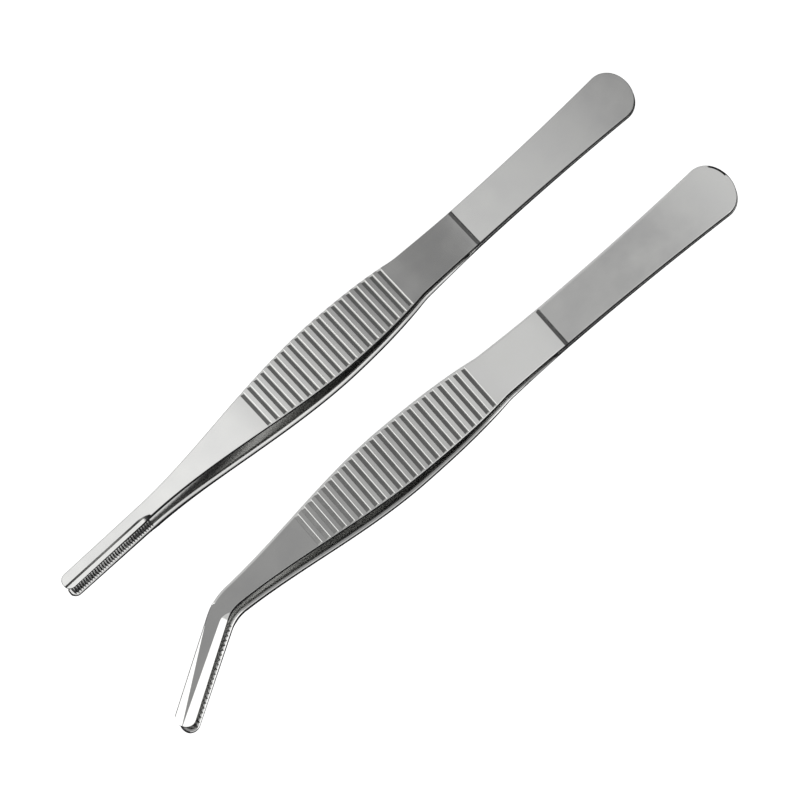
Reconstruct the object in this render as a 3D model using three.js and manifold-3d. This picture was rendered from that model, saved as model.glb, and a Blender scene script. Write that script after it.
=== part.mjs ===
// A set of two stainless steel print tongs, one with straight jaws and one with jaws bent sideways.
// Each pair is two spring blades, spot-welded together at the heel. Units are millimetres, +Z is up,
// +X runs from the heels to the jaws, and both pairs lie flat, resting on the heel and on the belly.
import * as THREE from "three";
import { mergeVertices } from "three/addons/utils/BufferGeometryUtils.js";
import Module from "manifold-3d";

const wasm = await Module();
wasm.setup();

// ---- driving dimensions ------------------------------------------------------------------------
// A blade is laid out along its centre line as a run of stretches, from the heel end to the tip:
// heel, leaf, grip, neck and jaw. Heights are from the plane between the two blades. The grip is
// highest, and the blades stand furthest apart, at its front end, the belly.

const straightTongs = {
  name: "straight",
  stretch: { heel: 58.1, leaf: 20.3, grip: 64, neck: 29.8, jaw: 28.7 },
  heelRound: 6.2, // length of the rounded heel end
  tipRound: 2.1, // length of the rounded tip
  hingeAfterCrease: 13.5,
  width: { heelEnd: 14.8, waist: 11.8, leafEnd: 12.5, grip: 16.1, neckEnd: 4.2, tip: 4.2 },
  waistAt: 52.5,
  widestAfterLeaf: 26.5,
  gripRearSlope: 0.33,
  height: { heelEnd: 1.45, crease: 2.1, leafEnd: 3.7, midGrip: 6.15, belly: 7.65, neckEnd: 6.75, tip: 6.0 },
  slope: { crease: 0.05, leafEnd: 0.076, midGrip: 0.069, belly: 0, neckEnd: -0.033, tip: -0.033 },
  thickness: { leaf: 1.1, grip: 1.8, belly: 1.9, neckEnd: 2.7, tip: 2.0 },
  grooves: { count: 20, afterLeaf: 4.4, pitch: 2.585 },
  teeth: { reach: 28.5, pitch: 0.8 },
  bevels: [
    {
      side: 1,
      angle: 10,
      length: 25.5,
      tipAt: 0.55,
      rootAt: 0.7,
      runOut: 10,
      step: { angle: 60, width: 0.42 },
    },
  ],
  bend: null,
  weldsAt: { rear: 12, middle: 28, front: 44 },
};

const bentTongs = {
  name: "bent",
  stretch: { heel: 61.5, leaf: 20.9, grip: 57.5, neck: 37.1, jaw: 32.4 },
  heelRound: 6.6,
  tipRound: 2.6,
  hingeAfterCrease: 13.5,
  width: { heelEnd: 16.3, waist: 12.7, leafEnd: 13.3, grip: 16.65, neckEnd: 5.5, tip: 5.6 },
  waistAt: 62.5,
  widestAfterLeaf: 31,
  gripRearSlope: 0.3,
  height: { heelEnd: 1.45, crease: 2.15, leafEnd: 3.6, midGrip: 5.7, belly: 6.9, neckEnd: 6.05, tip: 5.15 },
  slope: { crease: 0.05, leafEnd: 0.073, midGrip: 0.068, belly: 0, neckEnd: -0.03, tip: -0.028 },
  thickness: { leaf: 1.1, grip: 1.8, belly: 1.9, neckEnd: 2.3, tip: 1.9 },
  grooves: { count: 24, afterLeaf: 4.5, pitch: 2.552 },
  teeth: { reach: 30.5, pitch: 1.35 },
  bevels: [
    { side: 1, angle: 26, length: 29, tipAt: 0.2, rootAt: 1.0, runOut: 12 },
    { side: -1, angle: 14, length: 33, tipAt: 0.05, rootAt: -2.95, runOut: 60 },
  ],
  bend: { beforeTip: 37.7, radius: 14, angle: 32 },
  weldsAt: { rear: 12, middle: 29, front: 46 },
};

// How the bent pair lies beside the straight pair.
const gapBetweenHeels = 22.5;
const bentHeelSetBack = 2.2;
const bentPairTurn = 1.8; // degrees, its jaws turned towards the straight pair

const seam = 0.3; // between the two heels, where the spot welds sit
const weldDiameter = 5;
const weldClearance = 0.05; // above and below a weld
const hingeGap = 0.3; // between a heel and its arm, where the spring leaf flexes
const slotRoot = 5.5; // length over which the slot between the blades opens, ahead of the crease
const gripThickening = { before: 3, after: 11 }; // about the end of the leaf
const grooveWidth = 1.0;
const grooveDepth = 0.55;
const grooveWall = 0.12; // lean of a groove's side walls
const creaseWidth = 1.1;
const creaseDepth = 0.22;
const creaseWall = 0.3;
const toothDepth = 0.2;
const cutterHeight = 4;
const cutterWidth = 24;
const cutterOverrun = 5;
const profileStep = 4; // longest stretch of a face drawn as one flat
const slotStep = 1;
const restStep = 0.5;
const outlineStep = 3.5;
const bendStep = 1.3; // shorter flats where a blade is bent afterwards
const cornerSteps = 10; // flats in a quarter round
const weldSides = 24;
const beyond = 60; // a block this wide or high is larger than a blade

const radians = THREE.MathUtils.degToRad;

// ---- smooth lines ------------------------------------------------------------------------------

// The value at x on the cubic line through the knots [x, value, slope], level beyond its ends.
function along(knots, x) {
  const last = knots.length - 2;
  const found = knots.findIndex((knot, i) => i > 0 && x <= knot[0]);
  const i = found < 0 ? last : found - 1;
  const [x0, v0, m0] = knots[i];
  const [x1, v1, m1] = knots[i + 1];
  const span = x1 - x0;
  const t = THREE.MathUtils.clamp((x - x0) / span, 0, 1);
  const ease = t * t * (3 - 2 * t);
  const rise = t * (1 - t) * (1 - t) * m0 - t * t * (1 - t) * m1;
  return v0 * (1 - ease) + v1 * ease + rise * span;
}

// Evenly spaced places from a to b, both included, no further apart than step.
function spread(a, b, step) {
  const count = Math.max(1, Math.ceil(Math.abs(b - a) / step));
  return Array.from({ length: count + 1 }, (_, i) => a + ((b - a) * i) / count);
}

// Where each stretch of the blade ends.
function stationsOf({ stretch }) {
  const crease = stretch.heel;
  const leafEnd = crease + stretch.leaf;
  const belly = leafEnd + stretch.grip;
  const neckEnd = belly + stretch.neck;
  const tip = neckEnd + stretch.jaw;
  return { crease, leafEnd, midGrip: (leafEnd + belly) / 2, belly, neckEnd, tip };
}

// The outer face is flat as far as the crease, and a smooth line from there to the tip.
function outerHeight(tongs, x) {
  const { height, slope } = tongs;
  const stations = stationsOf(tongs);
  if (x <= stations.crease)
    return THREE.MathUtils.lerp(height.heelEnd, height.crease, x / stations.crease);
  const knots = Object.keys(slope).map((name) => [stations[name], height[name], slope[name]]);
  return along(knots, x);
}

function thicknessAt(tongs, x) {
  const { leaf, grip, belly, neckEnd, tip } = tongs.thickness;
  const stations = stationsOf(tongs);
  return along(
    [
      [stations.leafEnd - gripThickening.before, leaf, 0],
      [stations.leafEnd + gripThickening.after, grip, 0],
      [stations.belly, belly, 0],
      [stations.neckEnd, neckEnd, 0],
      [stations.tip, tip, 0],
    ],
    x,
  );
}

// The inner face closes on the seam at the crease, and follows the blade's thickness beyond it.
function innerHeight(tongs, x) {
  const closed = seam / 2;
  const opened = outerHeight(tongs, x) - thicknessAt(tongs, x);
  const t = THREE.MathUtils.clamp((x - tongs.stretch.heel) / slotRoot, 0, 1);
  return THREE.MathUtils.lerp(closed, opened, t * t * (3 - 2 * t));
}

function fullWidth(tongs, x) {
  const { heelEnd, waist, leafEnd, grip, neckEnd, tip } = tongs.width;
  const stations = stationsOf(tongs);
  const heelSlope = (-2 * (heelEnd - waist)) / tongs.waistAt;
  const leafSlope = (2 * (leafEnd - waist)) / (stations.leafEnd - tongs.waistAt);
  if (x <= stations.leafEnd)
    return along(
      [
        [0, heelEnd, heelSlope],
        [tongs.waistAt, waist, 0],
        [stations.leafEnd, leafEnd, leafSlope],
      ],
      x,
    );
  return along(
    [
      [stations.leafEnd, leafEnd, tongs.gripRearSlope],
      [stations.leafEnd + tongs.widestAfterLeaf, grip, 0],
      [stations.neckEnd, neckEnd, 0],
      [stations.tip, tip, 0],
    ],
    x,
  );
}

// ---- solids ------------------------------------------------------------------------------------

function solidFrom(geometry) {
  const bare = geometry.clone();
  bare.deleteAttribute("normal");
  bare.deleteAttribute("uv");
  const merged = mergeVertices(bare, 1e-4);
  return new wasm.Manifold(
    new wasm.Mesh({
      numProp: 3,
      vertProperties: new Float32Array(merged.attributes.position.array),
      triVerts: new Uint32Array(merged.index.array),
    }),
  );
}

function geometryFrom(solid) {
  const mesh = solid.getMesh();
  const geometry = new THREE.BufferGeometry();
  geometry.setAttribute("position", new THREE.BufferAttribute(mesh.vertProperties, 3));
  geometry.setIndex(new THREE.BufferAttribute(mesh.triVerts, 1));
  geometry.computeVertexNormals();
  return geometry;
}

// A flat outline, extruded by depth and centred on its own plane.
function slab(points, depth) {
  const shape = new THREE.Shape(points);
  const geometry = new THREE.ExtrudeGeometry(shape, { depth, bevelEnabled: false });
  return geometry.translate(0, 0, -depth / 2);
}

// The outer face's line: flats between the finger grooves, and a pressed crease.
function outerLine(tongs) {
  const { crease, leafEnd, tip } = stationsOf(tongs);
  const { count, afterLeaf, pitch } = tongs.grooves;
  const cuts = [{ at: crease, width: creaseWidth, depth: creaseDepth, wall: creaseWall }];
  for (let i = 0; i < count; i++) {
    const at = leafEnd + afterLeaf + i * pitch;
    cuts.push({ at, width: grooveWidth, depth: grooveDepth, wall: grooveWall });
  }
  const line = [];
  let from = 0;
  for (const cut of cuts) {
    const start = cut.at - cut.width / 2;
    const end = cut.at + cut.width / 2;
    const floor = outerHeight(tongs, cut.at) - cut.depth;
    for (const x of spread(from, start, profileStep)) line.push([x, outerHeight(tongs, x)]);
    line.push([start + cut.wall, floor], [end - cut.wall, floor]);
    from = end;
  }
  const frontStep = tongs.bend ? bendStep : profileStep;
  for (const x of spread(from, tip, frontStep)) line.push([x, outerHeight(tongs, x)]);
  return line;
}

// The inner face's line, from the tip back to the heel end. The teeth of one jaw stand against the
// gaps of the other, so one of them is shifted by half a pitch.
function innerLine(tongs, toothShift) {
  const { crease, tip } = stationsOf(tongs);
  const { reach, pitch } = tongs.teeth;
  const line = [[tip, innerHeight(tongs, tip)]];
  const teeth = Math.floor(reach / pitch);
  for (let i = 0; i < teeth; i++) {
    const crest = tip - (i + 0.5 + toothShift) * pitch;
    const gap = crest - pitch / 2;
    line.push([crest, innerHeight(tongs, crest)]);
    line.push([gap, innerHeight(tongs, gap) + toothDepth]);
  }
  const teethEnd = tip - (teeth + 0.5 + toothShift) * pitch;
  const slotEnd = crease + slotRoot;
  const step = tongs.bend ? bendStep : profileStep;
  for (const x of spread(teethEnd, slotEnd, step)) line.push([x, innerHeight(tongs, x)]);
  for (const x of spread(slotEnd, crease, slotStep).slice(1)) line.push([x, innerHeight(tongs, x)]);
  line.push([0, seam / 2]);
  return line;
}

// The blade's outline seen from above, with a round heel end and a rounded tip.
function outline(tongs) {
  const edge = [];
  const quarter = Math.PI / 2;
  const { heelRound, tipRound } = tongs;
  const { tip } = stationsOf(tongs);
  for (const a of spread(0, quarter, quarter / cornerSteps)) {
    const x = heelRound * (1 - Math.cos(a));
    edge.push([x, (fullWidth(tongs, x) / 2) * Math.sin(a)]);
  }
  const step = tongs.bend ? bendStep : outlineStep;
  for (const x of spread(heelRound, tip - tipRound, step).slice(1, -1))
    edge.push([x, fullWidth(tongs, x) / 2]);
  for (const a of spread(0, quarter, quarter / cornerSteps)) {
    const x = tip - tipRound * (1 - Math.sin(a));
    edge.push([x, (fullWidth(tongs, x) / 2) * Math.cos(a)]);
  }
  const other = edge.map(([x, y]) => [x, -y]).reverse();
  const points = [...other, ...edge].map(([x, y]) => new THREE.Vector2(x, y));
  return points.filter((p, i) => p.distanceTo(points[(i + 1) % points.length]) > 1e-3);
}

// The block cut away above a sloping flat. The flat starts on a line along the jaw's back, which runs
// from tipAt to rootAt across the blade, and leaves the blade on a round run-out, as a grinding wheel does.
function flatCutter(tongs, { side, length, tipAt, rootAt, runOut }, angle, lowered) {
  const { tip } = stationsOf(tongs);
  const root = tip - length;
  const heightAt = (x) => outerHeight(tongs, x) - lowered;
  const front = new THREE.Vector3(tip, tipAt, heightAt(tip));
  const rear = new THREE.Vector3(root, rootAt, heightAt(root));
  const back = rear.clone().sub(front).normalize();
  const down = new THREE.Vector3(0, side * Math.cos(radians(angle)), -Math.sin(radians(angle)));
  const out = new THREE.Vector3().crossVectors(back, down).multiplyScalar(-side).normalize();
  const across = new THREE.Vector3().crossVectors(back, out);
  const run = rear.distanceTo(front);
  const swing = Math.acos(Math.max(0, 1 - cutterHeight / runOut));
  const shape = new THREE.Shape();
  shape.moveTo(-cutterOverrun, cutterHeight);
  shape.lineTo(-cutterOverrun, 0);
  shape.lineTo(run, 0);
  for (const a of spread(0, swing, swing / cornerSteps).slice(1))
    shape.lineTo(run + runOut * Math.sin(a), runOut * (1 - Math.cos(a)));
  const geometry = slab(shape.getPoints(), cutterWidth);
  geometry.applyMatrix4(new THREE.Matrix4().makeBasis(back, out, across).setPosition(front));
  return solidFrom(geometry);
}

// A ground bevel on one side of the jaw's back, either straight from the ridge or below a steep step.
function bevelCutter(tongs, bevel) {
  if (!bevel.step) return flatCutter(tongs, bevel, bevel.angle, 0);
  const { angle, width } = bevel.step;
  const sunk = width * (Math.tan(radians(angle)) - Math.tan(radians(bevel.angle)));
  const wall = flatCutter(tongs, bevel, angle, 0);
  return wall.intersect(flatCutter(tongs, bevel, bevel.angle, sunk));
}

// One whole blade, before the jaw is bent and before it is parted at the spring leaf.
function blade(tongs, toothShift) {
  const side = [...outerLine(tongs), ...innerLine(tongs, toothShift)];
  const profile = slab(
    side.map(([x, z]) => new THREE.Vector2(x, z)),
    beyond,
  ).rotateX(Math.PI / 2);
  const plan = slab(outline(tongs), beyond);
  let solid = solidFrom(profile).intersect(solidFrom(plan));
  for (const bevel of tongs.bevels) solid = solid.subtract(bevelCutter(tongs, bevel));
  return solid;
}

// Bends everything ahead of the bend's start sideways round an arc, as the jaws are bent in a press.
function bendSideways(geometry, { beforeTip, radius, angle }, tip) {
  const start = tip - beforeTip;
  const position = geometry.attributes.position;
  const whole = radians(angle);
  for (let i = 0; i < position.count; i++) {
    const ahead = position.getX(i) - start;
    if (ahead <= 0) continue;
    const turned = Math.min(ahead / radius, whole);
    const straight = Math.max(0, ahead - radius * whole);
    const reach = radius - position.getY(i);
    position.setX(i, start + reach * Math.sin(turned) + straight * Math.cos(turned));
    position.setY(i, radius - reach * Math.cos(turned) + straight * Math.sin(turned));
  }
  return geometry;
}

// The part of a blade between two distances along it.
function stretchOf(solid, from, to) {
  const block = new THREE.BoxGeometry(to - from, beyond, beyond).translate((from + to) / 2, 0, 0);
  return solid.intersect(solidFrom(block));
}

// ---- the two pairs of tongs --------------------------------------------------------------------

const polishedSteel = { color: 0xc3c5c6, roughness: 0.22, metalness: 1 };
const weldMetal = { color: 0x8b8a86, roughness: 0.5, metalness: 1 };

function meshOf(name, geometry, look) {
  const mesh = new THREE.Mesh(geometry, new THREE.MeshStandardMaterial(look));
  mesh.name = name;
  return mesh;
}

// How far the tongs lean on a flat surface, standing on the heel end and on the lower blade's belly.
function leanOf(tongs) {
  const { crease, tip } = stationsOf(tongs);
  const rest = outerHeight(tongs, 0);
  const slopes = spread(crease, tip, restStep).map((x) => (outerHeight(tongs, x) - rest) / x);
  return Math.atan(Math.max(...slopes));
}

// A blade is its heel and, on a hinge in the middle of the spring leaf, its arm.
function makeBlade(tongs, side) {
  const label = tongs.name + (side > 0 ? "_upper" : "_lower");
  const { crease, tip } = stationsOf(tongs);
  const hingeAt = crease + tongs.hingeAfterCrease;
  const leafMiddle = (outerHeight(tongs, hingeAt) + innerHeight(tongs, hingeAt)) / 2;
  const whole = blade(tongs, side > 0 ? 0 : 0.5);

  const heelSolid = stretchOf(whole, -beyond, hingeAt - hingeGap / 2);
  const heel = meshOf(label + "_heel", geometryFrom(heelSolid), polishedSteel);
  heel.scale.z = side;

  const armGeometry = geometryFrom(stretchOf(whole, hingeAt + hingeGap / 2, tip + beyond));
  if (tongs.bend) bendSideways(armGeometry, tongs.bend, tip);
  armGeometry.translate(-hingeAt, 0, -leafMiddle);
  const arm = meshOf(label + "_arm", armGeometry, polishedSteel);
  arm.scale.z = side;

  const hinge = new THREE.Group();
  hinge.position.set(hingeAt, 0, side * leafMiddle);
  hinge.add(arm);
  return [heel, hinge];
}

function makeWeld(tongs, label) {
  const radius = weldDiameter / 2;
  const disc = new THREE.CylinderGeometry(radius, radius, seam - 2 * weldClearance, weldSides);
  const weld = meshOf(tongs.name + "_" + label + "_weld", disc.rotateX(Math.PI / 2), weldMetal);
  weld.position.x = tongs.weldsAt[label];
  return weld;
}

function makeTongs(tongs) {
  const lean = leanOf(tongs);
  const leaning = new THREE.Group();
  leaning.rotation.y = -lean;
  leaning.position.z = tongs.height.heelEnd * Math.cos(lean);
  for (const side of [1, -1]) leaning.add(...makeBlade(tongs, side));
  for (const label of Object.keys(tongs.weldsAt)) leaning.add(makeWeld(tongs, label));
  return new THREE.Group().add(leaning);
}

const straight = makeTongs(straightTongs);
const bent = makeTongs(bentTongs);
const heelHalves = (straightTongs.width.heelEnd + bentTongs.width.heelEnd) / 2;
bent.position.set(-bentHeelSetBack, heelHalves + gapBetweenHeels, 0);
bent.rotation.z = -radians(bentPairTurn);

// The origin is under the middle of the set, on the surface that it lies on.
const set = new THREE.Group().add(straight, bent);
set.updateMatrixWorld(true);
const box = new THREE.Box3().setFromObject(set, true);
const middle = box.getCenter(new THREE.Vector3());
set.position.set(-middle.x, -middle.y, -box.min.z);

export default set;
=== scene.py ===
# A set of two stainless steel print tongs, one with straight jaws and one with jaws bent sideways.
# Blades are modelled in millimetres along their own centre line, and then laid in place in metres.
import math

import bmesh
import bpy
from mathutils import Matrix, Vector


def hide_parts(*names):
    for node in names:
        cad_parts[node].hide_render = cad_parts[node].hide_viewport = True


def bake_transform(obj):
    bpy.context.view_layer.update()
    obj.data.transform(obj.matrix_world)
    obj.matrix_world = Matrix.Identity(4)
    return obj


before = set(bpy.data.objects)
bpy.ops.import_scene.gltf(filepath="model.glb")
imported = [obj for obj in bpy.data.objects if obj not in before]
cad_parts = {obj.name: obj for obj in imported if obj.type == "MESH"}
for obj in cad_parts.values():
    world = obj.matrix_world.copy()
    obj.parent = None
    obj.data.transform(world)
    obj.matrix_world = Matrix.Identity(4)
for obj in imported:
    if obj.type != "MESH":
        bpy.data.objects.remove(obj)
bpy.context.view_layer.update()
print("frame loaded")

millimetre = 0.001


def deselectAll():
    if bpy.context.mode != "OBJECT":
        bpy.ops.object.mode_set(mode="OBJECT")
    bpy.ops.object.select_all(action="DESELECT")


def pick(thing):
    deselectAll()
    thing.select_set(True)
    bpy.context.view_layer.objects.active = thing


def openMesh(thing, mode="VERT"):
    pick(thing)
    bpy.ops.object.mode_set(mode="EDIT")
    bpy.ops.mesh.select_mode(type=mode)
    bpy.ops.mesh.select_all(action="SELECT")


def closeMesh():
    bpy.ops.object.mode_set(mode="OBJECT")


def turnedTo(right, up, back):  # the turn that lays x, y and z along three directions
    return Matrix((right, up, back)).transposed().to_4x4()


def spread(start, end, step):  # evenly spaced places, both ends included
    count = max(1, math.ceil(abs(end - start) / step - 1e-9))  # a rounding error adds no place
    return [start + (end - start) * i / count for i in range(count + 1)]


def along(knots, x):  # a cubic line through knots of place, value and slope
    i = 0
    while i < len(knots) - 2 and x > knots[i + 1][0]:
        i += 1
    (x0, v0, m0), (x1, v1, m1) = knots[i], knots[i + 1]
    span = x1 - x0
    t = min(1, max(0, (x - x0) / span))
    ease = t * t * (3 - 2 * t)
    rise = t * (1 - t) ** 2 * m0 - t * t * (1 - t) * m1
    return v0 * (1 - ease) + v1 * ease + rise * span


# The two pairs: distances run along each blade from its heel end, heights from the plane between the
# blades. A bevel starts at tipAt and rootAt across the upper face and falls away to its side.
straightTongs = {
    "name": "straight",
    "stretch": {"heel": 58.1, "leaf": 20.3, "grip": 64, "neck": 29.8, "jaw": 28.7},
    "heelRound": 6.2,
    "tipRound": 2.1,
    "width": {"heelEnd": 14.8, "waist": 11.8, "leafEnd": 12.5, "grip": 16.1, "neckEnd": 4.2, "tip": 4.2},
    "waistAt": 52.5,
    "widestAfterLeaf": 26.5,
    "gripRearSlope": 0.33,
    "height": {
        "heelEnd": 1.45,
        "crease": 2.1,
        "leafEnd": 3.7,
        "midGrip": 6.15,
        "belly": 7.65,
        "neckEnd": 6.75,
        "tip": 6.0,
    },
    "slope": {
        "crease": 0.05,
        "leafEnd": 0.076,
        "midGrip": 0.069,
        "belly": 0,
        "neckEnd": -0.033,
        "tip": -0.033,
    },
    "thickness": {"leaf": 1.1, "grip": 1.8, "belly": 1.9, "neckEnd": 2.7, "tip": 2.0},
    "grooves": {"count": 20, "afterLeaf": 4.4, "pitch": 2.585},
    "teeth": {"reach": 28.5, "pitch": 0.8},
    "bevels": [
        {
            "side": 1,
            "angle": 10,
            "length": 25.5,
            "tipAt": 0.55,
            "rootAt": 0.7,
            "runOut": 10,
            "step": {"angle": 60, "width": 0.42},
        },
    ],
    "bend": None,
    "strip": None,
    "place": Vector((-100.443, -21.494, 0)),
    "turn": 0,
}

bentTongs = {
    "name": "bent",
    "stretch": {"heel": 61.5, "leaf": 20.9, "grip": 57.5, "neck": 37.1, "jaw": 32.4},
    "heelRound": 6.6,
    "tipRound": 2.6,
    "width": {"heelEnd": 16.3, "waist": 12.7, "leafEnd": 13.3, "grip": 16.65, "neckEnd": 5.5, "tip": 5.6},
    "waistAt": 62.5,
    "widestAfterLeaf": 31,
    "gripRearSlope": 0.3,
    "height": {
        "heelEnd": 1.45,
        "crease": 2.15,
        "leafEnd": 3.6,
        "midGrip": 5.7,
        "belly": 6.9,
        "neckEnd": 6.05,
        "tip": 5.15,
    },
    "slope": {
        "crease": 0.05,
        "leafEnd": 0.073,
        "midGrip": 0.068,
        "belly": 0,
        "neckEnd": -0.03,
        "tip": -0.028,
    },
    "thickness": {"leaf": 1.1, "grip": 1.8, "belly": 1.9, "neckEnd": 2.3, "tip": 1.9},
    "grooves": {"count": 24, "afterLeaf": 4.5, "pitch": 2.552},
    "teeth": {"reach": 30.5, "pitch": 1.35},
    "bevels": [
        {"side": 1, "angle": 26, "length": 29, "tipAt": 0.2, "rootAt": 1.0, "runOut": 12},
        {"side": -1, "angle": 14, "length": 33, "tipAt": 0.05, "rootAt": -2.95, "runOut": 60},
        {
            "side": -1,
            "angle": 55,
            "length": 33,
            "tipAt": -2.54,
            "tipDrop": 0.64,
            "rootAt": -2.5,
            "rootDrop": -0.1,
            "runOut": 60,
        },
    ],
    "bend": {"beforeTip": 37.7, "radius": 14, "angle": 32},
    "strip": {"width": 0.65, "drop": 0.36, "easeIn": 2, "endsBefore": 1.5, "goneAfter": 0.5},
    "place": Vector((-102.643, 16.556, 0)),
    "turn": -1.8,
}

sheet = {
    "blank": 4,  # thickness of the plate before it takes its shape from the side
    "outlineStep": 1.5,
    "roundSteps": {"heel": 16, "tip": 14},  # flats in a quarter round
    "steps": {"slot": 0.7, "leaf": 1.3, "arm": 1.6, "bend": 0.7},  # between the cuts across the plate
    "restStep": 0.5,  # between the places tried when a pair is set down
    "seam": 0.3,  # between the two heels
    "slotRoot": 5.5,  # length over which the slot opens
    "thickenBefore": 3,
    "thickenAfter": 11,
    "hingeAfterCrease": 13.5,
    "hingeLevel": 2,  # height of the leaf's bending line above and below the plane between the blades
    "sharpAngle": 12,  # degrees, above which an edge stays crisp
    "doubles": 0.0005,  # points closer than this become one
    "level": 0.9,  # how far up the normal of a level face points
}


def stationsOf(tongs):
    stretch = tongs["stretch"]
    creaseAt = stretch["heel"]
    leafEnd = creaseAt + stretch["leaf"]
    belly = leafEnd + stretch["grip"]
    neckEnd = belly + stretch["neck"]
    return {
        "crease": creaseAt,
        "leafEnd": leafEnd,
        "midGrip": (leafEnd + belly) / 2,
        "belly": belly,
        "neckEnd": neckEnd,
        "tip": neckEnd + stretch["jaw"],
    }


def outerHeight(tongs, x):
    height = tongs["height"]
    at = stationsOf(tongs)
    if x <= at["crease"]:
        return height["heelEnd"] + (height["crease"] - height["heelEnd"]) * x / at["crease"]
    return along([(at[name], height[name], slope) for name, slope in tongs["slope"].items()], x)


def thicknessAt(tongs, x):
    thickness = tongs["thickness"]
    at = stationsOf(tongs)
    knots = [
        (at["leafEnd"] - sheet["thickenBefore"], thickness["leaf"], 0),
        (at["leafEnd"] + sheet["thickenAfter"], thickness["grip"], 0),
        (at["belly"], thickness["belly"], 0),
        (at["neckEnd"], thickness["neckEnd"], 0),
        (at["tip"], thickness["tip"], 0),
    ]
    return along(knots, x)


def innerHeight(tongs, x):
    closed = sheet["seam"] / 2
    opened = outerHeight(tongs, x) - thicknessAt(tongs, x)
    t = min(1, max(0, (x - tongs["stretch"]["heel"]) / sheet["slotRoot"]))
    t = t * t * (3 - 2 * t)
    return closed + (opened - closed) * t


def fullWidth(tongs, x):
    width = tongs["width"]
    at = stationsOf(tongs)
    heelSlope = -2 * (width["heelEnd"] - width["waist"]) / tongs["waistAt"]
    leafSlope = 2 * (width["leafEnd"] - width["waist"]) / (at["leafEnd"] - tongs["waistAt"])
    if x <= at["leafEnd"]:
        return along(
            [
                (0, width["heelEnd"], heelSlope),
                (tongs["waistAt"], width["waist"], 0),
                (at["leafEnd"], width["leafEnd"], leafSlope),
            ],
            x,
        )
    return along(
        [
            (at["leafEnd"], width["leafEnd"], tongs["gripRearSlope"]),
            (at["leafEnd"] + tongs["widestAfterLeaf"], width["grip"], 0),
            (at["neckEnd"], width["neckEnd"], 0),
            (at["tip"], width["tip"], 0),
        ],
        x,
    )


def leanOf(tongs):  # the pair stands on its heel end and on the lower blade's belly
    at = stationsOf(tongs)
    rest = outerHeight(tongs, 0)
    places = spread(at["crease"], at["tip"], sheet["restStep"])
    return math.atan(max((outerHeight(tongs, x) - rest) / x for x in places))


def outlineOf(tongs):  # the blade seen from above, with a round heel end and a rounded tip
    at = stationsOf(tongs)
    quarter = math.pi / 2
    heelRound, tipRound = tongs["heelRound"], tongs["tipRound"]
    edge = []
    for a in spread(0, quarter, quarter / sheet["roundSteps"]["heel"]):
        x = heelRound * (1 - math.cos(a))
        edge.append((x, fullWidth(tongs, x) / 2 * math.sin(a)))
    for x in spread(heelRound, at["tip"] - tipRound, sheet["outlineStep"])[1:-1]:
        edge.append((x, fullWidth(tongs, x) / 2))
    for a in spread(0, quarter, quarter / sheet["roundSteps"]["tip"]):
        x = at["tip"] - tipRound * (1 - math.sin(a))
        edge.append((x, fullWidth(tongs, x) / 2 * math.cos(a)))
    return edge + [(x, -y) for x, y in reversed(edge[1:-1])]


def cutsOf(tongs):  # where the plate is divided, so that it can take its shape from the side
    at = stationsOf(tongs)
    steps = sheet["steps"]
    stops = [
        (at["crease"] + sheet["slotRoot"], steps["slot"]),
        (at["leafEnd"], steps["leaf"]),
        (at["tip"] - tongs["tipRound"], steps["arm"]),
    ]
    places = []
    since = at["crease"]
    for stop, step in stops:
        places += spread(since, stop, step)[:-1]
        since = stop
    return places + [since]


def drawn(points):  # a face drawn corner by corner, left open for editing
    deselectAll()
    bpy.ops.mesh.primitive_plane_add(size=1)
    thing = bpy.context.object
    openMesh(thing)
    bpy.ops.mesh.merge(type="CENTER")
    bpy.ops.transform.translate(value=points[0])
    for (x0, y0, z0), (x1, y1, z1) in zip(points, points[1:]):
        bpy.ops.mesh.extrude_region_move(TRANSFORM_OT_translate={"value": (x1 - x0, y1 - y0, z1 - z0)})
    bpy.ops.mesh.select_all(action="SELECT")
    bpy.ops.mesh.edge_face_add()
    bpy.ops.mesh.select_all(action="SELECT")
    return thing


def selectFaces(thing, wanted):
    bpy.ops.mesh.select_mode(type="FACE")
    bpy.ops.mesh.select_all(action="DESELECT")
    mesh = bmesh.from_edit_mesh(thing.data)
    for face in mesh.faces:
        face.select_set(wanted(face))
    bmesh.update_edit_mesh(thing.data)


def easeStrip(plate, strip, jaw):  # a sloping strip along the far upper edge, as far as the ground jaw
    selectFaces(plate, lambda face: face.normal.z > sheet["level"])
    bpy.ops.mesh.inset(thickness=strip["width"], depth=0, use_even_offset=True)
    mesh = bmesh.from_edit_mesh(plate.data)
    for vertex in mesh.verts:
        x, y, z = vertex.co
        if z < sheet["blank"] / 2 or any(face.select for face in vertex.link_faces):
            continue
        share = min(1, max(0, -y / strip["easeIn"]))
        before = along([(jaw - strip["endsBefore"], 1, 0), (jaw + strip["goneAfter"], 0, 0)], x)
        vertex.co.z -= strip["drop"] * share * share * (3 - 2 * share) * before
    bmesh.update_edit_mesh(plate.data)


def flatPlate(tongs, name):  # the blade's outline as a flat plate
    plate = drawn([(x, y, 0) for x, y in outlineOf(tongs)])
    plate.name = name
    bpy.ops.mesh.extrude_region_move(TRANSFORM_OT_translate={"value": (0, 0, sheet["blank"])})
    bpy.ops.mesh.select_all(action="SELECT")
    bpy.ops.mesh.normals_make_consistent(inside=False)
    if tongs["strip"]:
        easeStrip(plate, tongs["strip"], stationsOf(tongs)["neckEnd"])
    closeMesh()
    return plate


# The outer edges are eased, and the inner ones are rounded wide and shallow, least so at the heel
rim = {
    "outer": 0.15,
    "outerSteps": 3,
    "inner": 1.5,
    "innerSteps": 5,
    "heelDrop": 0.06,
    "armDrop": 0.42,
    "rise": 4,  # how far past the leaf the arm's round comes to its full depth
    "wallTilt": 0.3,
    "faceTilt": 0.7,
}


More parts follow.
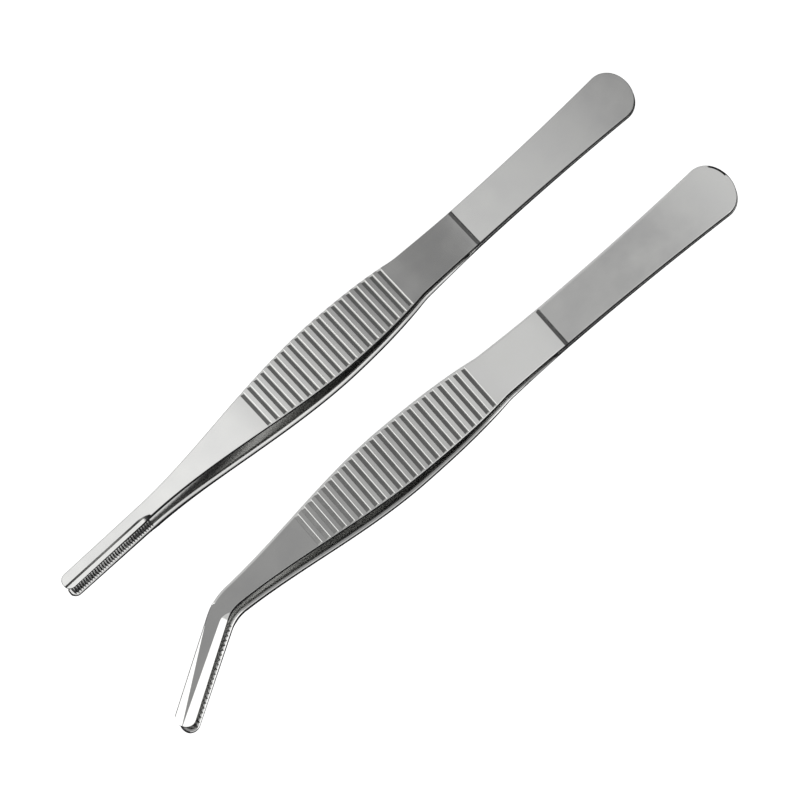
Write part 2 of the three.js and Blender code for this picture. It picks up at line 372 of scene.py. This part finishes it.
def bevelRim(thing, side, offset, segments):  # side is 1 for the outer face and -1 for the inner
    openMesh(thing, "EDGE")
    bpy.ops.mesh.select_all(action="DESELECT")
    mesh = bmesh.from_edit_mesh(thing.data)
    for edge in mesh.edges:  # the wanted ones are between the broad face and the side wall
        low, high = sorted(face.normal.z * side for face in edge.link_faces)
        edge.select_set(abs(low) < rim["wallTilt"] and high > rim["faceTilt"])
    bmesh.update_edit_mesh(thing.data)
    bpy.ops.mesh.bevel(offset=offset, segments=segments, affect="EDGES", clamp_overlap=False)
    closeMesh()


def shapeFromSide(plate, tongs):  # the plate takes the blade's height and thickness
    openMesh(plate)
    for x in cutsOf(tongs):
        bpy.ops.mesh.select_all(action="SELECT")
        bpy.ops.mesh.bisect(plane_co=(x, 0, 0), plane_no=(1, 0, 0))
    closeMesh()
    at = stationsOf(tongs)
    fade = [(at["crease"], rim["heelDrop"], 0), (at["leafEnd"] + rim["rise"], rim["armDrop"], 0)]
    for vertex in plate.data.vertices:
        x, y, z = vertex.co
        if z > sheet["blank"] / 2:
            vertex.co.z = outerHeight(tongs, x) - (sheet["blank"] - z)
        else:
            vertex.co.z = innerHeight(tongs, x) + z / rim["inner"] * along(fade, x)


wheel = {"width": 24, "height": 4, "overrun": 5, "steps": 24}  # the block that grinds or cuts a blade


def prism(points):  # an outline in the plane of x and z, extruded across the blade
    cutter = drawn([(x, -wheel["width"] / 2, z) for x, z in points])
    bpy.ops.mesh.extrude_region_move(TRANSFORM_OT_translate={"value": (0, wheel["width"], 0)})
    bpy.ops.mesh.select_all(action="SELECT")
    bpy.ops.mesh.normals_make_consistent(inside=False)
    closeMesh()
    return cutter


def slopeOf(height, tongs, x):
    near = 0.2
    return (height(tongs, x + near) - height(tongs, x - near)) / (2 * near)


def repeated(model, tongs, height, places, ends=None):  # copies of a cutter along a face, made one
    copies = []
    for x in places:
        copy = model.copy()
        copy.data = model.data.copy()
        bpy.context.collection.objects.link(copy)
        if ends:
            near, far = ends(x)
            for vertex in copy.data.vertices:
                reach = near if vertex.co.y > 0 else far
                vertex.co.y = math.copysign(reach + vertex.co.z, vertex.co.y)
        tilted = Matrix.Rotation(-math.atan(slopeOf(height, tongs, x)), 4, "Y")
        copy.data.transform(Matrix.Translation((x, 0, height(tongs, x))) @ tilted)
        copies.append(copy)
    bpy.data.objects.remove(model)
    deselectAll()
    for copy in copies:
        copy.select_set(True)
    bpy.context.view_layer.objects.active = copies[0]
    bpy.ops.object.join()
    return bpy.context.object


def combine(thing, other, operation):
    change = thing.modifiers.new("combine", "BOOLEAN")
    change.operation = operation
    change.solver = "EXACT"
    change.material_mode = "TRANSFER"
    change.object = other
    pick(thing)
    bpy.ops.object.modifier_apply(modifier=change.name)
    bpy.data.objects.remove(other)


def carve(blade, cutter, finish):
    cutter.data.materials.clear()
    cutter.data.materials.append(finish)
    combine(blade, cutter, "DIFFERENCE")


groove = {
    "half": 0.71,
    "lipRun": 0.2,  # the lip on the heel side is eased down
    "lipDrop": 0.17,
    "heelDepth": 0.5,
    "tipDepth": 0.28,
    "wall": 0.05,  # length that each steep wall takes up
    "above": 0.5,  # how far the cutter stands proud of the face
}
grooveEnd = {"near": 0.16, "far": 0.05, "farOnStrip": 0.4}  # what is left of the edge beyond a groove


def cutGrooves(blade, tongs, finish):
    half, wall, above = groove["half"], groove["wall"], groove["above"]
    model = prism(
        [
            (-half - above, above),
            (-half, 0),
            (-half + groove["lipRun"], -groove["lipDrop"]),
            (-half + groove["lipRun"] + wall, -groove["heelDepth"]),
            (half - wall, -groove["tipDepth"]),
            (half, 0),
            (half, above),
        ],
    )
    ribs = tongs["grooves"]
    first = stationsOf(tongs)["leafEnd"] + ribs["afterLeaf"]
    places = [first + i * ribs["pitch"] for i in range(ribs["count"])]
    far = grooveEnd["farOnStrip"] if tongs["strip"] else grooveEnd["far"]

    def ends(x):  # the ends of a groove slope up to just short of the blade's edges
        edge = fullWidth(tongs, x) / 2
        return edge - grooveEnd["near"], edge - far

    carve(blade, repeated(model, tongs, outerHeight, places, ends), finish)


crease = {"heelSide": 0.3, "tipSide": 0.85, "depth": 0.2, "edge": 0.01, "above": 0.3, "tilt": 0.03}


def cutCrease(blade, tongs, finish):
    at = tongs["stretch"]["heel"]
    rear, front, edge, above = crease["heelSide"], crease["tipSide"], crease["edge"], crease["above"]
    cutter = prism(
        [
            (-rear - above, above),
            (-rear, edge),
            (0, -crease["depth"]),
            (front, edge),
            (front + above, above),
        ],
    )
    tilted = Matrix.Rotation(-crease["tilt"], 4, "Y")
    cutter.data.transform(Matrix.Translation((at, 0, outerHeight(tongs, at))) @ tilted)
    carve(blade, cutter, finish)


tooth = {"depth": 0.2, "share": 0.42, "below": 0.4}


def cutTeeth(blade, tongs, shift, finish):
    pitch, reach = tongs["teeth"]["pitch"], tongs["teeth"]["reach"]
    half, below = pitch * tooth["share"], tooth["below"]
    model = prism([(-half, -below), (-half, 0), (0, tooth["depth"]), (half, 0), (half, -below)])
    tip = stationsOf(tongs)["tip"]
    places = [tip - (i + 1 + shift) * pitch for i in range(math.floor(reach / pitch))]
    carve(blade, repeated(model, tongs, innerHeight, places), finish)


def flatCutter(tongs, bevel, degrees, lowered):  # a flat that leaves the blade on a round run-out
    tip = stationsOf(tongs)["tip"]
    side = bevel["side"]
    root = tip - bevel["length"]
    angle = math.radians(degrees)
    frontDrop, rearDrop = bevel.get("tipDrop", 0), bevel.get("rootDrop", 0)
    front = Vector((tip, bevel["tipAt"], outerHeight(tongs, tip) - lowered - frontDrop))
    rear = Vector((root, bevel["rootAt"], outerHeight(tongs, root) - lowered - rearDrop))
    back = (rear - front).normalized()
    down = Vector((0, side * math.cos(angle), -math.sin(angle)))
    out = (back.cross(down) * -side).normalized()
    across = back.cross(out)
    run, runOut = (rear - front).length, bevel["runOut"]
    swing = math.acos(max(0, 1 - wheel["height"] / runOut))
    points = [(-wheel["overrun"], wheel["height"]), (-wheel["overrun"], 0), (run, 0)]
    for a in spread(0, swing, swing / wheel["steps"])[1:]:
        points.append((run + runOut * math.sin(a), runOut * (1 - math.cos(a))))
    cutter = prism(points)
    turned = turnedTo(back, across, out)
    cutter.data.transform(Matrix.Translation(front) @ turned)
    openMesh(cutter)
    bpy.ops.mesh.normals_make_consistent(inside=False)
    closeMesh()
    return cutter


def grindBevel(blade, tongs, bevel, finish):  # straight from the ridge, or below a steep step along it
    if "step" not in bevel:
        carve(blade, flatCutter(tongs, bevel, bevel["angle"], 0), finish)
        return
    step = bevel["step"]
    sunk = step["width"] * (math.tan(math.radians(step["angle"])) - math.tan(math.radians(bevel["angle"])))
    wall = flatCutter(tongs, bevel, step["angle"], 0)
    floor = flatCutter(tongs, bevel, bevel["angle"], sunk)
    combine(wall, floor, "INTERSECT")
    carve(blade, wall, finish)


def bendJaw(blade, tongs):  # sideways round an arc; the operator for it needs a window
    bend = tongs["bend"]
    start = stationsOf(tongs)["tip"] - bend["beforeTip"]
    radius, whole = bend["radius"], math.radians(bend["angle"])
    openMesh(blade)
    for x in spread(start, start + radius * whole, sheet["steps"]["bend"]):
        bpy.ops.mesh.select_all(action="SELECT")
        bpy.ops.mesh.bisect(plane_co=(x, 0, 0), plane_no=(1, 0, 0))
    closeMesh()
    for vertex in blade.data.vertices:
        ahead = vertex.co.x - start
        if ahead <= 0:
            continue
        turned = min(ahead / radius, whole)
        onward = max(0, ahead - radius * whole)
        reach = radius - vertex.co.y
        vertex.co.x = start + reach * math.sin(turned) + onward * math.cos(turned)
        vertex.co.y = radius - reach * math.cos(turned) + onward * math.sin(turned)


def finishFaces(thing):
    pick(thing)
    bpy.ops.object.shade_smooth_by_angle(angle=math.radians(sheet["sharpAngle"]))
    smooth = thing.modifiers.new("even", "WEIGHTED_NORMAL")
    smooth.keep_sharp = True
    smooth.weight = 100  # the broad faces count most and stay flat
    bpy.ops.object.modifier_apply(modifier=smooth.name)


def makeBlade(tongs, side, steel, ground):
    name = tongs["name"]
    label = "upper" if side > 0 else "lower"
    blade = flatPlate(tongs, f"{name}_{label}_blade")
    blade.data.materials.append(steel)
    bevelRim(blade, 1, rim["outer"], rim["outerSteps"])
    bevelRim(blade, -1, rim["inner"], rim["innerSteps"])
    shapeFromSide(blade, tongs)
    cutGrooves(blade, tongs, ground)
    cutCrease(blade, tongs, steel)
    cutTeeth(blade, tongs, 0 if side > 0 else 0.5, ground)
    for bevel in tongs["bevels"]:
        grindBevel(blade, tongs, bevel, ground)
    if tongs["bend"]:
        bendJaw(blade, tongs)
    openMesh(blade)
    bpy.ops.mesh.remove_doubles(threshold=sheet["doubles"])
    if side < 0:  # the lower blade is the upper one's mirror image
        closeMesh()
        blade.data.transform(Matrix.Diagonal((1, 1, -1, 1)))
        openMesh(blade)
    bpy.ops.mesh.normals_make_consistent(inside=False)
    closeMesh()
    lean = leanOf(tongs)
    stand = Matrix.Translation((0, 0, tongs["height"]["heelEnd"] * math.cos(lean)))
    stand = stand @ Matrix.Rotation(-lean, 4, "Y")
    lay = Matrix.Translation(tongs["place"]) @ Matrix.Rotation(math.radians(tongs["turn"]), 4, "Z") @ stand
    blade.data.transform(Matrix.Scale(millimetre, 4) @ lay)
    finishFaces(blade)
    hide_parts(f"{name}_{label}_heel", f"{name}_{label}_arm")
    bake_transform(blade)
    print(blade.name, "made,", len(blade.data.polygons), "faces")
    return blade


def linear(hexColour):  # an sRGB colour as linear light
    channels = [int(hexColour[i : i + 2], 16) / 255 for i in (1, 3, 5)]
    return tuple(c / 12.92 if c <= 0.04045 else ((c + 0.055) / 1.055) ** 2.4 for c in channels) + (1,)


def addNode(tree, kind, settings=None, links=None):
    node = tree.nodes.new(kind)
    for name, value in (settings or {}).items():
        if name in node.inputs:
            node.inputs[name].default_value = value
        else:
            setattr(node, name, value)
    for name, source in (links or {}).items():
        tree.links.new(source, node.inputs[name])
    return node


def newFinish(name):
    finish = bpy.data.materials.new(name)
    finish.use_nodes = True
    finish.node_tree.nodes.clear()
    return finish, finish.node_tree


cloudRange = (0.3, 0.7)  # nearly all of a noise lies between these


def blendColours(tree, factor, first, second):
    ramp = addNode(tree, "ShaderNodeValToRGB", links={"Fac": factor})
    for element, position, colour in zip(ramp.color_ramp.elements, cloudRange, (first, second)):
        element.position = position
        element.color = colour
    return ramp.outputs["Color"]


scratch = 0.01  # depth of the finest polishing marks, in millimetres


def steelFinish(name, look):
    finish, tree = newFinish(name)
    place = addNode(tree, "ShaderNodeTexCoord").outputs["Object"]
    scale = (1 / millimetre,) * 3  # patterns are given per millimetre
    perMm = addNode(tree, "ShaderNodeMapping", {"Scale": scale}, {"Vector": place}).outputs["Vector"]
    stretched = addNode(tree, "ShaderNodeMapping", {"Scale": (look["drawn"], 1, 1)}, {"Vector": perMm})
    cloud = addNode(
        tree, "ShaderNodeTexNoise", {"Scale": look["cloud"], "Detail": 3.0}, {"Vector": perMm}
    )
    streaks = stretched.outputs["Vector"]
    grain = addNode(
        tree, "ShaderNodeTexNoise", {"Scale": look["grain"], "Detail": 4.0}, {"Vector": streaks}
    )
    colour = blendColours(tree, cloud.outputs["Fac"], linear(look["dark"]), linear(look["light"]))
    rough = addNode(
        tree,
        "ShaderNodeMapRange",
        {
            "From Min": cloudRange[0],
            "From Max": cloudRange[1],
            "To Min": look["rough"][0],
            "To Max": look["rough"][1],
        },
        {"Value": cloud.outputs["Fac"]},
    )
    bump = addNode(
        tree,
        "ShaderNodeBump",
        {"Strength": look["relief"], "Distance": scratch * millimetre},
        {"Height": grain.outputs["Fac"]},
    )
    shader = addNode(
        tree,
        "ShaderNodeBsdfPrincipled",
        {"Metallic": 1.0},
        {"Base Color": colour, "Roughness": rough.outputs["Result"], "Normal": bump.outputs["Normal"]},
    )
    addNode(tree, "ShaderNodeOutputMaterial", links={"Surface": shader.outputs["BSDF"]})
    return finish


# Stainless spring steel, satin polished along the blade: soft mirror images and faint lengthwise streaks
satinSteel = steelFinish(
    "satin polished spring steel",
    {
        "dark": "#d5d5d4",
        "light": "#dddddb",
        "cloud": 0.12,
        "grain": 9,
        "drawn": 0.12,
        "relief": 0.1,
        "rough": (0.11, 0.15),
    },
)
# The same steel, ground: the jaw bevels, the finger grooves and the teeth, a little brighter and rougher
groundSteel = steelFinish(
    "ground spring steel",
    {
        "dark": "#d8d8d6",
        "light": "#e2e2e0",
        "cloud": 0.3,
        "grain": 14,
        "drawn": 1.0,
        "relief": 0.1,
        "rough": (0.12, 0.17),
    },
)
# Spot weld metal, bare and slightly oxidised: dull, brownish grey and uneven
weldSteel = steelFinish(
    "spot weld steel",
    {
        "dark": "#7d7468",
        "light": "#a39c92",
        "cloud": 0.8,
        "grain": 6,
        "drawn": 1.0,
        "relief": 0.8,
        "rough": (0.4, 0.55),
    },
)
print("finishes made")

blades = {}
for tongs in (straightTongs, bentTongs):
    blades[tongs["name"]] = [makeBlade(tongs, side, satinSteel, groundSteel) for side in (1, -1)]

for name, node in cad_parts.items():
    if name.endswith("_weld"):
        node.data.materials.clear()
        node.data.materials.append(weldSteel)
print("blades and welds made")

floorLook = {"size": 8, "drop": 0.0003, "colour": "#f4f4f4", "glow": 1.05}


def makeFloor():
    deselectAll()
    bpy.ops.mesh.primitive_plane_add(size=floorLook["size"], location=(0, 0, -floorLook["drop"]))
    floor = bpy.context.object
    floor.name = "floor"
    finish, tree = newFinish("matt white board")
    white = linear(floorLook["colour"])
    matt = addNode(tree, "ShaderNodeBsdfDiffuse", {"Color": white})
    glow = addNode(tree, "ShaderNodeEmission", {"Color": white, "Strength": floorLook["glow"]})
    both = addNode(tree, "ShaderNodeAddShader")
    tree.links.new(matt.outputs["BSDF"], both.inputs[0])
    tree.links.new(glow.outputs["Emission"], both.inputs[1])
    addNode(tree, "ShaderNodeOutputMaterial", links={"Surface": both.outputs["Shader"]})
    floor.data.materials.append(finish)
    floor.visible_glossy = False


def makeCard(name, centre, size, bands, receivers=None):  # a glowing card that faces the tongs
    deselectAll()
    bpy.ops.mesh.primitive_plane_add(size=1)
    card = bpy.context.object
    card.name = name
    centre = Vector(centre)
    card.data.transform(Matrix.Diagonal((size[0], size[1], 1, 1)))
    if abs(centre.normalized().z) > 0.85:  # nearly overhead
        away = Vector((0, 1, 0))
    else:
        away = Vector((0, 0, 1))
    toward = -centre.normalized()
    right = away.cross(toward).normalized()
    up = toward.cross(right)
    card.matrix_world = Matrix.Translation(centre) @ turnedTo(right, up, toward)
    finish, tree = newFinish(name + " glow")
    place = addNode(tree, "ShaderNodeTexCoord").outputs["Object"]
    parts = addNode(tree, "ShaderNodeSeparateXYZ", links={"Vector": place})
    half = size[0] / 2
    reach = addNode(
        tree, "ShaderNodeMapRange", {"From Min": -half, "From Max": half}, {"Value": parts.outputs["X"]}
    )
    ramp = addNode(tree, "ShaderNodeValToRGB", links={"Fac": reach.outputs["Result"]})
    elements = ramp.color_ramp.elements
    while len(elements) < len(bands):
        elements.new(0.5)
    for element, (position, grey) in zip(elements, bands):
        element.position = position
        element.color = (grey, grey, grey, 1)
    glow = addNode(tree, "ShaderNodeEmission", {"Strength": 1.0}, {"Color": ramp.outputs["Color"]})
    clear = addNode(tree, "ShaderNodeBsdfTransparent")  # light from a card behind this one comes through
    both = addNode(tree, "ShaderNodeAddShader")
    tree.links.new(glow.outputs["Emission"], both.inputs[0])
    tree.links.new(clear.outputs["BSDF"], both.inputs[1])
    addNode(tree, "ShaderNodeOutputMaterial", links={"Surface": both.outputs["Shader"]})
    card.data.materials.append(finish)
    card.visible_camera = False
    if receivers:
        lit = bpy.data.collections.new(name + " lights")
        for piece in receivers:
            lit.objects.link(piece)
        card.light_linking.receiver_collection = lit
    return card


# Above each pair hangs a long card whose glow changes along x, so the steel mirrors bright and dark bands
overhead = {"height": 1.0, "y": -0.03, "left": -0.9, "right": 0.5, "deep": 1.0}
overheadGlow = {
    "straight": [
        (-0.62, 0.12),
        (-0.46, 0.2),
        (-0.33, 0.28),
        (-0.278, 0.27),
        (-0.258, 0.64),
        (-0.165, 0.78),
        (-0.09, 1.05),
        (0.5, 1.18),
    ],
    "bent": [
        (-0.62, 0.12),
        (-0.46, 0.25),
        (-0.385, 0.45),
        (-0.34, 0.85),
        (-0.28, 0.92),
        (-0.25, 0.42),
        (-0.225, 0.42),
        (-0.19, 0.56),
        (-0.14, 0.56),
        (-0.09, 0.37),
        (0.5, 0.33),
    ],
}
overheadRaise = {"straight": 0, "bent": 0.05}  # so that the two cards don't lie in one plane

sideCards = [
    {"name": "near side", "centre": (-0.1, 1.15, 0.85), "size": (3.2, 1.5), "glow": 0.72, "lights": None},
    {"name": "near above", "centre": (-0.5, 0.55, 1.02), "size": (1.1, 0.75), "glow": 0.8, "lights": "bent"},
    {"name": "far side", "centre": (0, -1.2, 0.2), "size": (2.4, 1.5), "glow": 0.7, "lights": None},
    {"name": "far above", "centre": (0.1, -0.75, 0.95), "size": (1.6, 0.42), "glow": 1.6, "lights": "bent"},
    {"name": "tip end", "centre": (1.2, -0.2, 0.3), "size": (1.2, 0.6), "glow": 1.3, "lights": None},
]


def hangOverhead(name):
    left, right = overhead["left"], overhead["right"]
    card = makeCard(
        name + " overhead",
        (0, 0, overhead["height"]),
        (right - left, overhead["deep"]),
        [((x - left) / (right - left), grey) for x, grey in overheadGlow[name]],
        blades[name],
    )
    place = Vector(((left + right) / 2, overhead["y"], overhead["height"] + overheadRaise[name]))
    card.matrix_world = Matrix.Translation(place) @ Matrix.Rotation(math.pi, 4, "X")


makeFloor()
for name in overheadGlow:
    hangOverhead(name)
for card in sideCards:
    even = [(0, card["glow"]), (1, card["glow"])]
    makeCard(card["name"], card["centre"], card["size"], even, blades.get(card["lights"]))

roomColour = (0.022, 0.022, 0.023, 1)
world = bpy.data.worlds.new("dim room")
world.use_nodes = True
world.node_tree.nodes.clear()
room = addNode(world.node_tree, "ShaderNodeBackground", {"Color": roomColour, "Strength": 1.0})
addNode(world.node_tree, "ShaderNodeOutputWorld", links={"Surface": room.outputs["Background"]})
bpy.context.scene.world = world
bpy.context.scene.view_settings.view_transform = "Standard"
print("floor and light made")

viewpoint = {
    "at": (0.0329, 0.5177, 1.9907),
    "right": (-0.7331, 0.6609, -0.1608),
    "forward": (-0.0162, -0.2534, -0.9672),
    "focal": 348.63,
    "sensor": 36,
    "shift": (0.0043, -0.01736),
    "farthest": 20,
}
view = bpy.data.cameras.new("camera")
view.lens = viewpoint["focal"]
view.sensor_width = viewpoint["sensor"]
view.shift_x, view.shift_y = viewpoint["shift"]
view.clip_end = viewpoint["farthest"]
camera = bpy.data.objects.new("camera", view)
bpy.context.collection.objects.link(camera)
right = Vector(viewpoint["right"]).normalized()
forward = Vector(viewpoint["forward"]).normalized()
up = right.cross(forward).normalized()
camera.matrix_world = Matrix.Translation(viewpoint["at"]) @ turnedTo(right, up, -forward)
bpy.context.scene.camera = camera
